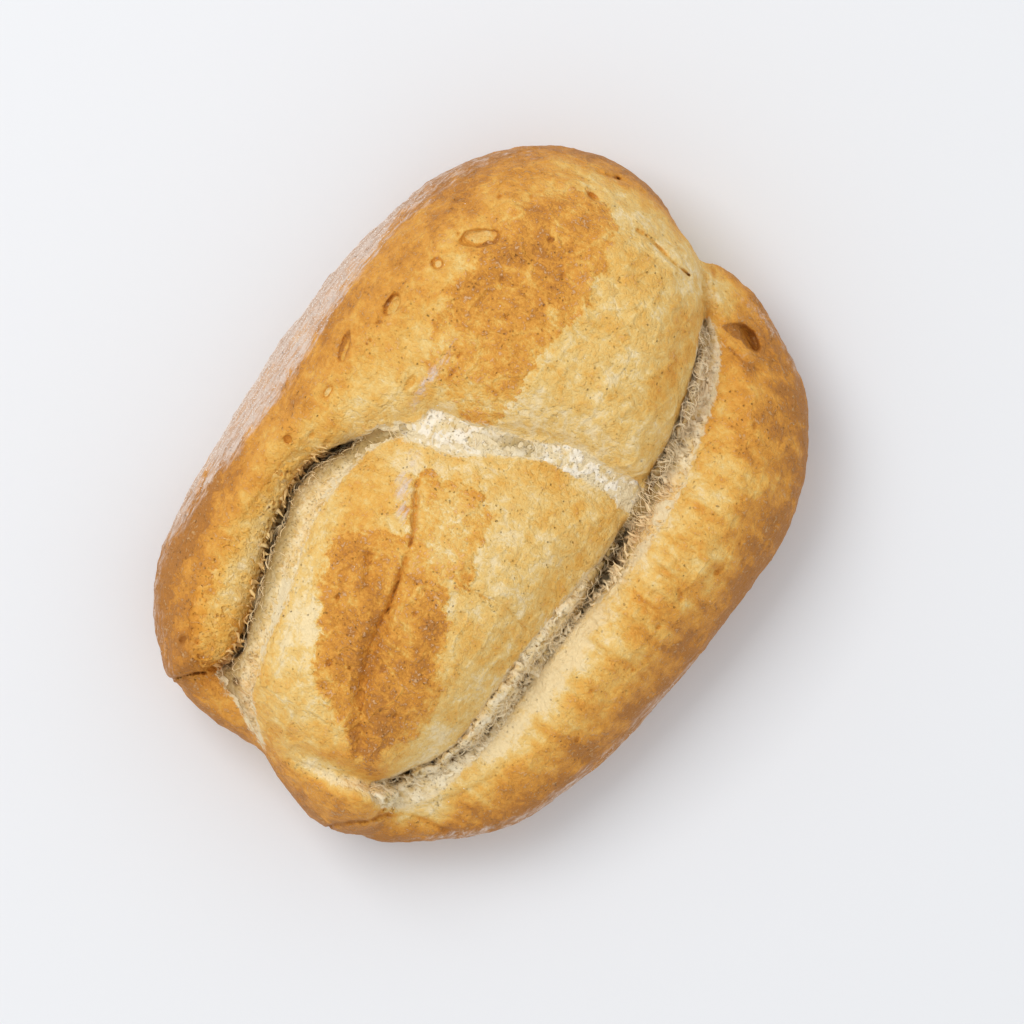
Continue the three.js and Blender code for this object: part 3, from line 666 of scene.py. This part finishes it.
def makeCrumb(name, tear):
    outline = np.array(tear["outline"])
    low, high = outline.min(0) - 3, outline.max(0) + 3
    xs, ys = np.arange(low[0], high[0], crumb["step"]), np.arange(low[1], high[1], crumb["step"])
    zs = np.arange(crumb["low"], crumb["high"], crumb["step"])
    base = loafDepth(xs, ys, zs)
    x, y = np.meshgrid(xs, ys, indexing="ij")
    ragged = crumb["ragged"] * planNoise(x, y, (1.4, 3, 1), 3)
    inside = (plan.read(tearDepth[name], x, y) + ragged).astype(np.float32)[:, :, None]
    patchy = 0.9 + 0.35 * planNoise(x, y, 7, 4)
    full = (plan.read(bulge, x, y) * patchy).astype(np.float32)[:, :, None] * smoothstep(inside, 0, 1.6)
    holed = plan.read(pitted, x, y).astype(np.float32)[:, :, None]
    block = base + 0.2 + 1.5 * (1 - smoothstep(inside, -1.2, 0.4)) - full + holed
    near = np.nonzero((np.abs(block) < 3) & (inside > -2.5))
    holeDepth = crumb["holeDepth"] * tear["holes"]
    at = np.stack([xs[near[0]], ys[near[1]], zs[near[2]]], -1)
    seed = crumb["seed"]
    stretch = np.array(tear["stretch"])
    warped = at + crumb["warp"] * np.stack([noise(at, crumb["warpSize"], seed + k) for k in (7, 8, 9)], -1)
    holes = bubbles(warped, crumb["hole"] * stretch, crumb["holeRadius"], seed)
    fibres = noise(warped, crumb["fibre"] * stretch * (1, 1.4, 1), seed + 20)
    fibres = 1 - np.abs(fibres) / crumb["fibreWidth"]
    depth = block[near] + crumb["lump"] * noise(at, 5 * stretch, seed + 3)
    depth = np.maximum(depth, np.minimum(-holes, depth + holeDepth))
    block[near] = depth - crumb["fibreDepth"] * (np.maximum(fibres, 0) - 0.5)
    block = np.maximum(block, -(base + crumb["thickness"]))
    block = np.maximum(block, -(inside + crumb["rimThickness"]))
    points, triangles, quads = surfaceOf(block, xs, ys, zs)
    piece = meshObject(name, points, triangles, quads)
    thinTo(piece, crumb["triangles"])
    return piece


crumbPieces = {name: makeCrumb(name, tear) for name, tear in tears.items()}
print("crumb ready", [len(piece.data.polygons) for piece in crumbPieces.values()])


# Patches of the skin that baked differently. On top of the cheek they are drawn out sideways.
def patches(at):
    x, y, z = at.T
    flank = smoothstep(-z, -34, -18)
    cheek = smoothstep(-y, 40, 46) * smoothstep(z, 22, 34) * (1 - flank)
    across = noise(at, (3.6, 13, 13), 61) + 0.8 * noise(at, (1.7, 7, 7), 62)
    around = noise(at, 9, 63) + 0.6 * noise(at, 4, 64)
    return 0.16 * across * cheek + (0.08 + 0.06 * flank) * around * (1 - cheek)


def skinColours(at, flank):
    x, y, z = at.T
    values = {name: plan.read(drawn, x, y) for name, drawn in skinPlan.items()}
    values["brown"] -= 20 * flank
    values["flour"] *= smoothstep(z, 1, 6)
    values["vein"] = veins(at, crust["veinSize"], crust["veinWidth"] * 1.3, crust["seed"] + 3)
    for name, depth in zip(("dent", "crease", "paleFloor"), dents(x, y)):
        values[name] = depth * (1 - flank)
    return values


# Crumb is baked golden where the long tear is widest, partly as painted shade deep in that tear, and less
# white in the middle of the short one.
def crumbColours(at, tear):
    x, y, _ = at.T
    values = {name: plan.read(drawn, x, y) for name, drawn in crumbPlan.items()}
    baked = 0.6 * np.exp(-(((x - 20) / 26) ** 2) - ((y + 42) / 6) ** 2)
    values["golden"] = tear["golden"] + (1 - tear["golden"]) * baked
    values["white"] = tear["white"] * (1 - 0.75 * np.exp(-(((y - 5) / 8) ** 2)))
    return values


# Writes what the materials read, and moves the piece to the middle of the frame.
for piece in (crustPiece, *crumbPieces.values()):
    at = cornersOf(piece)
    flank = smoothstep(-at[:, 2], -30, -14)
    values = skinColours(at, flank) if piece == crustPiece else crumbColours(at, tears[piece.name])
    values["bakeOut"] = values["bakeOut"] - 0.06 * flank + patches(at)
    for name, amounts in values.items():
        attribute = piece.data.attributes.new(name, "FLOAT", "POINT")
        attribute.data.foreach_set("value", np.ascontiguousarray(amounts, np.float32))
    piece.data.vertices.foreach_set("co", ((at - centre) * mm).astype(np.float32).ravel())
    smoothen(piece)
    piece.data.update()
print("colours written")


def maths(operation, order=1):
    def result(*values):
        settings = dict(operation=operation)
        return values[0].tree.add("ShaderNodeMath", settings, dict(enumerate(values[::order])))
    return result


# A socket in a node tree. Expressions on values add Math nodes.
class Value:
    __add__ = __radd__ = maths("ADD")
    __mul__ = __rmul__ = maths("MULTIPLY")
    __sub__, __rsub__ = maths("SUBTRACT"), maths("SUBTRACT", -1)
    size, least, most = maths("ABSOLUTE"), maths("MINIMUM"), maths("MAXIMUM")

    def __init__(self, tree, socket):
        self.tree = tree
        self.socket = socket

    def also(self, output):
        return Value(self.tree, self.socket.node.outputs[output])


class Tree:
    def __init__(self, nodeTree):
        self.tree = nodeTree
        self.nodes = nodeTree.nodes
        self.nodes.clear()

    # Adds one node, and returns one of its outputs. A ramp's stops come with the settings.
    def add(self, kind, settings=None, inputs=None, output=0):
        node = self.nodes.new(kind)
        for key, value in (settings or {}).items():
            if key == "stops":
                ramp = node.color_ramp
                while len(ramp.elements) < len(value):
                    ramp.elements.new(1)
                for element, (position, colour) in zip(ramp.elements, value):
                    element.position = position
                    element.color = (*colour, 1)
            else:
                setattr(node, key, value)
        for key, value in (inputs or {}).items():
            if isinstance(value, Value):
                self.tree.links.new(value.socket, node.inputs[key])
            else:
                node.inputs[key].default_value = value
        return Value(self, node.outputs[output]) if len(node.outputs) else None


class Shader(Tree):
    def __init__(self, name):
        self.material = bpy.data.materials.new(name)
        self.material.use_nodes = True
        super().__init__(self.material.node_tree)

    def attribute(self, name):
        return self.add("ShaderNodeAttribute", dict(attribute_name=name), output="Fac")

    def place(self):
        return self.add("ShaderNodeTexCoord", output="Object")

    def noise(self, place, size, detail=3, rough=0.55, output="Fac"):
        inputs = {"Vector": place, "Scale": 1 / (size * mm), "Detail": detail, "Roughness": rough}
        return self.add("ShaderNodeTexNoise", None, inputs, output)

    def cells(self, place, size):
        inputs = {"Vector": place, "Scale": 1 / (size * mm)}
        return self.add("ShaderNodeTexVoronoi", None, inputs, "Distance")

    # Moves a place about by smooth noise, so that patterns run less straight.
    def drifted(self, place, size, reach):
        drift = self.noise(place, size, 2, output="Color")
        return self.add("ShaderNodeVectorMath", dict(operation="MULTIPLY_ADD"),
                        {0: drift, 1: (reach * mm,) * 3, 2: place}, "Vector")

    def stretched(self, place, scale):
        return self.add("ShaderNodeMapping", None, {"Vector": place, "Scale": scale})

    def step(self, value, low, high):
        settings = dict(interpolation_type="SMOOTHSTEP")
        return self.add("ShaderNodeMapRange", settings, {"Value": value, "From Min": low, "From Max": high})

    def mix(self, factor, a, b):
        a, b = (colour if isinstance(colour, Value) else (*colour, 1) for colour in (a, b))
        return self.add("ShaderNodeMix", dict(data_type="RGBA"), {0: factor, 6: a, 7: b}, 2)

    def ramp(self, value, stops):
        return self.add("ShaderNodeValToRGB", dict(stops=stops), {"Fac": value}, "Color")

    def bump(self, height, distance, strength=1):
        inputs = {"Height": height, "Distance": distance * mm, "Strength": strength}
        return self.add("ShaderNodeBump", None, inputs, "Normal")

    def finish(self, inputs):
        surface = self.add("ShaderNodeBsdfPrincipled", None, inputs, "BSDF")
        self.add("ShaderNodeOutputMaterial", None, {"Surface": surface})
        return self.material


crustLook = dict(
    bakeStops=[(0.0, (0.91, 0.71, 0.39)), (0.2, (0.85, 0.57, 0.19)), (0.4, (0.81, 0.445, 0.09)),
               (0.6, (0.73, 0.32, 0.042)), (0.8, (0.56, 0.22, 0.025)), (1.0, (0.34, 0.13, 0.028))],
    flour=(0.75, 0.60, 0.50), crumb=(0.86, 0.70, 0.43), pore=(0.24, 0.095, 0.02), pale=(0.93, 0.76, 0.45),
    grain=(0.86, 0.78, 0.70), bloom=(0.90, 0.62, 0.36),
)


def crustMaterial():
    s = Shader("crust")
    place = s.place()
    drifted = s.drifted(place, 5, 3)
    wide, blotch = s.noise(place, 19, 2), s.noise(drifted, 6, 4, 0.62)
    wisp, fleck = s.noise(s.stretched(drifted, (1, 0.6, 1)), 2.2, 4, 0.7), s.noise(place, 0.85, 2, 0.6)
    edge = s.attribute("brown") + (blotch - 0.5) * 9 + (wisp - 0.5) * 5
    keen = s.attribute("keen")
    brown = s.step(edge * keen, -0.45, 0.45)
    border = (1 - s.step((edge + 0.6).size(), 0.2, 0.9)) * keen
    out, inner = s.attribute("bakeOut"), s.attribute("bakeIn")
    vein = s.attribute("vein")
    bake = out + (inner - out).most(0) * brown + border * 0.06
    bake = bake + (wide - 0.5) * 0.45 + (blotch - 0.5) * 0.75 + (wisp - 0.5) * (0.7 + brown * 0.4)
    bake = bake + (fleck - 0.5) * (0.35 + brown * 0.25) - vein * (0.08 + brown * 0.08)
    # Craters are painted darker, as shade in them, and the wide ones paler on their floors. Sunken creases
    # are painted darker, partly as shade in them and partly as browner crust along them.
    floor = s.step(s.attribute("paleFloor"), 0.05, 0.5)
    bake = bake + s.step(s.attribute("dent"), 0.1, 0.8) * (0.2 - floor * 0.44)
    bake = bake + s.step(s.attribute("crease"), 0.2, 1.0) * 0.22
    colour = s.ramp(bake.least(0.9), crustLook["bakeStops"])
    specks = s.step(wisp * 0.5 + fleck * 0.5, 0.55, 0.64) * (0.25 + brown * 0.25)
    colour = s.mix(specks, colour, s.mix(brown, crustLook["pale"], crustLook["bloom"]))
    crumbEdge = s.attribute("crumbDepth") + (wisp - 0.5) * 5
    colour = s.mix(s.step(crumbEdge, -0.5, 0.5), colour, crustLook["crumb"])
    pinholes = (1 - s.step(s.cells(drifted, 2.9), 0.05, 0.13)) * s.step(wide, 0.48, 0.62)
    pores = (1 - s.step(s.cells(drifted, 1.7), 0.1, 0.2)) * s.step(blotch, 0.46, 0.6)
    colour = s.mix((pinholes * 0.5).most(pores * (0.2 + brown * 0.2)), colour, crustLook["pore"])
    dust = s.noise(s.stretched(place, (0.28, 1, 1)), 2.0, 5, 0.75) - 0.5
    dust = s.attribute("flour") * (dust * 3.2 + 1)
    dusted = s.step(dust + (wide - 0.5) * 0.6, 0.38, 0.78)
    streak = s.step(s.noise(s.stretched(place, (0.12, 1, 1)), 1.1, 3, 0.6), 0.42, 0.56)
    colour = s.mix(dusted * (0.5 + streak * 0.42), colour, crustLook["flour"])
    height = wisp * 1.0 + blotch * 0.8 + fleck * 0.4 + vein * 0.2 - pinholes * 0.8 - pores * 0.4
    normal = s.bump(height, 1.4, 0.9)
    rough = 0.58 + (wisp - 0.5) * 0.4 + dusted * 0.25
    return s.finish({"Base Color": colour, "Roughness": rough, "Normal": normal, "Specular IOR Level": 0.3})


# Among the crumb's colours, deep is painted shade for the slits and pits, and shadow is painted shade beside
# the tears.
crumbLook = dict(
    pale=(0.90, 0.76, 0.49), shade=(0.75, 0.57, 0.28), thread=(0.86, 0.70, 0.42), deep=(0.20, 0.095, 0.025),
    white=(0.96, 0.88, 0.74), shadow=(0.38, 0.25, 0.085),
)


def crumbMaterial():
    s = Shader("crumb")
    place = s.place()
    drifted = s.drifted(place, 3, 2)
    mid, fine = s.noise(drifted, 3.5, 3), s.noise(drifted, 0.9, 3, 0.65)
    fibres = s.noise(s.stretched(drifted, (1, 0.22, 0.6)), 0.9, 3, 0.6)
    colour = s.mix(s.step(mid + (fine - 0.5) * 0.6 + (fibres - 0.5) * 0.9, 0.36, 0.68), crumbLook["pale"],
                   crumbLook["shade"])
    colour = s.mix(s.attribute("white") * s.step(mid, 0.66, 0.42), colour, crumbLook["white"])
    bake = s.attribute("bakeOut") + (mid - 0.5) * 0.7 + (fine - 0.5) * 0.4
    baked = s.ramp(bake, crustLook["bakeStops"])
    colour = s.mix(s.attribute("golden") + (mid - 0.5) * 0.5, colour, baked)
    shadow = s.attribute("shadow") * (1 - s.step(s.attribute("golden"), 0.6, 0.9)) + (mid - 0.5) * 0.5
    colour = s.mix(s.step(shadow, 0.1, 1.0) * 0.9, colour, crumbLook["shadow"])
    # Painted shade: the slits and pits are drawn dark, and the crumb's small pores a little darker too.
    pores = 1 - s.step(s.cells(drifted, 1.1), 0.12, 0.3)
    colour = s.mix((s.attribute("deep") * 0.9).most(pores * 0.25), colour, crumbLook["deep"])
    normal = s.bump(fine * 0.7 + fibres * 0.8 + mid * 0.4 - pores * 0.5, 0.7, 0.9)
    return s.finish({"Base Color": colour, "Roughness": 0.8, "Normal": normal, "Specular IOR Level": 0.25})


class GeometryTree(Tree):
    def __init__(self, name, inputs):
        super().__init__(bpy.data.node_groups.new(name, "GeometryNodeTree"))
        face = self.tree.interface
        face.new_socket("Surface", in_out="INPUT", socket_type="NodeSocketGeometry")
        self.sockets = {}
        for key, kind in inputs.items():
            socket = face.new_socket(key, in_out="INPUT", socket_type="NodeSocket" + kind)
            self.sockets[key] = socket.identifier
        face.new_socket("Geometry", in_out="OUTPUT", socket_type="NodeSocketGeometry")
        self.entry = self.nodes.new("NodeGroupInput")

    def input(self, name):
        return Value(self, self.entry.outputs[name])

    def named(self, name):
        settings = dict(data_type="FLOAT")
        return self.add("GeometryNodeInputNamedAttribute", settings, {"Name": name}, "Attribute")

    def random(self, low, high, seed):
        inputs = {2: low, 3: high, "Seed": seed}
        return self.add("FunctionNodeRandomValue", dict(data_type="FLOAT"), inputs, 1)

    def randomVector(self, low, high, seed):
        inputs = {0: low, 1: high, "Seed": seed}
        return self.add("FunctionNodeRandomValue", dict(data_type="FLOAT_VECTOR"), inputs)

    def vector(self, x, y, z):
        return self.add("ShaderNodeCombineXYZ", None, {0: x, 1: y, 2: z})

    def scatter(self, density, seed):
        inputs = {"Mesh": self.input("Surface"), "Density": density, "Seed": seed}
        return self.add("GeometryNodeDistributePointsOnFaces", None, inputs, "Points")

    # Puts one shape on every point, makes the copies real and gives them their material.
    def place(self, points, shape, rotation, scale, offset, material):
        inputs = {"Points": points, "Instance": shape, "Rotation": rotation, "Scale": scale}
        copies = self.add("GeometryNodeInstanceOnPoints", None, inputs)
        copies = self.add("GeometryNodeRealizeInstances", None, {"Geometry": copies})
        copies = self.add("GeometryNodeSetPosition", None, {"Geometry": copies, "Offset": offset})
        copies = self.add("GeometryNodeSetMaterial", None, {"Geometry": copies, "Material": material})
        self.add("NodeGroupOutput", None, {0: copies})


# Runs a tree over one surface and leaves the result as a plain piece of its own.
def grow(name, tree, surface, values):
    piece = bpy.data.objects.new(name, surface.data)
    bpy.context.scene.collection.objects.link(piece)
    modifier = piece.modifiers.new("grow", "NODES")
    modifier.node_group = tree.tree
    for key, value in values.items():
        modifier[tree.sockets[key]] = value
    settle(piece, modifier)
    smoothen(piece)
    return piece


# Threads lie across a tear and are held at both ends. Shreds stick out from its edge, and end in a tip.
threads = dict(
    place="fringe", density=1.3, everywhere=0.12, length=3.6, radius=0.1, curl=1.5, back=0.5, lift=0.44,
    tipLift=0.0, taper=1.2, spread=0.75, steps=6, sides=4, seed=5,
)
shreds = dict(
    place="shredded", density=0.75, everywhere=0.0, length=2.8, radius=0.6, curl=2.2, back=0.1, lift=0.25,
    tipLift=0.3, taper=1.05, spread=0.55, steps=5, sides=5, seed=77,
)


# Torn strands on a crumb surface, most of them where its attribute for the place is high.
def strandTree(name, material, look):
    t = GeometryTree(name, dict(Density="Float", Length="Float", Radius="Float", Curl="Float",
                                Across="Vector", Seed="Int"))
    seed, length = t.input("Seed"), t.input("Length")
    torn = (t.named("tornDepth") + 0.6).most(0).least(1)
    points = t.scatter(t.input("Density") * torn * (t.named(look["place"]) * 1.8 + look["everywhere"]), seed)
    axes = dict(primary_axis="Z", secondary_axis="X")
    along = t.add("FunctionNodeAxesToRotation", axes, {0: points.also("Normal"), 1: t.input("Across")})
    spread = look["spread"]
    turn = t.randomVector((-0.5, -0.3, -spread), (0.5, 0.3, spread), seed + 1)
    turn = t.add("FunctionNodeEulerToRotation", None, {0: turn})
    turned = t.add("FunctionNodeRotateRotation", dict(rotation_space="LOCAL"), {0: along, 1: turn})
    bend = {"Resolution": look["steps"], "Start": t.vector(length * -look["back"], 0.0, 0.0),
            "Middle": t.vector(length * (0.5 - look["back"]), length * 0.1, length * look["lift"]),
            "End": t.vector(length * (1 - look["back"]), 0.0, length * look["tipLift"])}
    path = t.add("GeometryNodeCurveQuadraticBezier", None, bend)
    ring = t.add("GeometryNodeCurvePrimitiveCircle", None,
                 {"Resolution": look["sides"], "Radius": t.input("Radius")})
    reached = t.add("GeometryNodeSplineParameter", output="Factor")
    taper = 1 - (reached - look["back"]).size() * look["taper"]
    thread = t.add("GeometryNodeCurveToMesh", None,
                   {"Curve": path, "Profile Curve": ring, "Scale": taper, "Fill Caps": True})
    place = t.add("GeometryNodeInputPosition")
    wave = t.add("ShaderNodeTexNoise", None, {"Vector": place, "Scale": 1 / (2.4 * mm), "Detail": 1}, "Color")
    wave = t.add("ShaderNodeVectorMath", dict(operation="SUBTRACT"), {0: wave, 1: (0.5, 0.5, 0.5)})
    wave = t.add("ShaderNodeVectorMath", dict(operation="SCALE"), {0: wave, "Scale": t.input("Curl")})
    t.place(points, thread, turned, t.random(0.3, 1.4, seed + 2), wave, material)
    return t


grains = dict(density=1.1, bareBelow=0.5, slope=1.8, everywhere=0.001, radius=0.2, seed=9)


# Grains of flour on the skin, by how floured it is, and a few everywhere.
def grainTree(material):
    t = GeometryTree("grains", dict(Density="Float", Radius="Float", Seed="Int"))
    seed = t.input("Seed")
    much = (t.named("flour") - grains["bareBelow"]).most(0) * grains["slope"] + grains["everywhere"]
    points = t.scatter(t.input("Density") * much, seed)
    grain = t.add("GeometryNodeMeshIcoSphere", None, {"Radius": t.input("Radius"), "Subdivisions": 1})
    turn = t.add("FunctionNodeEulerToRotation", None, {0: t.randomVector((0, 0, 0), (6, 6, 6), seed + 1)})
    size = t.randomVector((0.4, 0.4, 0.3), (1.4, 1.4, 0.9), seed + 2)
    t.place(points, grain, turn, size, (0.0, 0.0, 0.0), material)
    return t


def threadMaterial():
    s = Shader("threads")
    fine = s.noise(s.place(), 1.5, 2)
    baked = s.ramp(s.attribute("bakeOut") + (fine - 0.5) * 0.4, crustLook["bakeStops"])
    colour = s.mix(s.step(fine, 0.35, 0.65), crumbLook["pale"], crumbLook["thread"])
    colour = s.mix(s.attribute("white"), colour, crumbLook["white"])
    colour = s.mix(s.attribute("golden") * 0.7, colour, baked)
    return s.finish({"Base Color": colour, "Roughness": 0.75, "Specular IOR Level": 0.25})


def flourMaterial():
    s = Shader("flour")
    return s.finish({"Base Color": (*crustLook["grain"], 1), "Roughness": 0.9, "Specular IOR Level": 0.1})


crustPiece.data.materials.append(crustMaterial())
crumbSkin = crumbMaterial()
for piece in crumbPieces.values():
    piece.data.materials.append(crumbSkin)
strandLook = threadMaterial()
grown = []
for kind, look in (("threads", threads), ("shreds", shreds)):
    strands = strandTree(kind, strandLook, look)
    for number, (name, piece) in enumerate(crumbPieces.items()):
        if tears[name][kind] == 0:
            continue
        values = dict(Density=look["density"] * tears[name][kind] / mm**2, Length=look["length"] * mm,
                      Radius=look["radius"] * mm, Curl=look["curl"] * mm, Across=tears[name]["across"],
                      Seed=look["seed"] + 10 * number)
        grown.append(grow(name + kind.capitalize(), strands, piece, values))
values = dict(Density=grains["density"] / mm**2, Radius=grains["radius"] * mm, Seed=grains["seed"])
grown.append(grow("flourGrains", grainTree(flourMaterial()), crustPiece, values))
print("threads and grains ready", [len(piece.data.polygons) for piece in grown])

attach(crustPiece, "root")
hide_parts("loaf")
for piece in [*crumbPieces.values(), *grown]:
    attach(piece, "root")

studio = dict(
    floor=(0.79, 0.795, 0.81), sky=(0.965, 0.98, 1), world=0.79, keyPower=27.5, keySize=1.4,
    keyFrom=(-1.0, 0.8, 2.2), turn=-54, aim=(2.93, -6.69), height=1.99, lens=230,
)


def makeStudio():
    scene = bpy.context.scene
    bpy.ops.mesh.primitive_plane_add(size=6)
    floor = bpy.context.object
    floor.name = "floor"
    paint = Shader("floor")
    floor.data.materials.append(paint.finish({"Base Color": (*studio["floor"], 1), "Roughness": 0.7}))
    world = bpy.data.worlds.new("studio")
    world.use_nodes = True
    background = world.node_tree.nodes["Background"].inputs
    background["Color"].default_value = (*studio["sky"], 1)
    background["Strength"].default_value = studio["world"]
    scene.world = world
    turn = math.radians(studio["turn"])
    c, s = math.cos(turn), math.sin(turn)
    fx, fy, fz = studio["keyFrom"]
    light = bpy.data.lights.new("key", "AREA")
    light.size = studio["keySize"]
    light.energy = studio["keyPower"]
    key = bpy.data.objects.new("key", light)
    key.location = (fx * c - fy * s, fx * s + fy * c, fz)
    key.rotation_euler = (-Vector(key.location)).to_track_quat("-Z", "Y").to_euler()
    scene.collection.objects.link(key)
    camera = bpy.data.cameras.new("camera")
    camera.sensor_width = 36
    camera.lens = studio["lens"]
    shot = bpy.data.objects.new("camera", camera)
    aimX, aimY = studio["aim"]
    shot.location = ((aimX - centre[0]) * mm, (aimY - centre[1]) * mm, studio["height"])
    shot.rotation_euler = (0, 0, turn)
    scene.collection.objects.link(shot)
    scene.camera = shot
    scene.view_settings.view_transform = "Standard"


makeStudio()
print("studio ready")
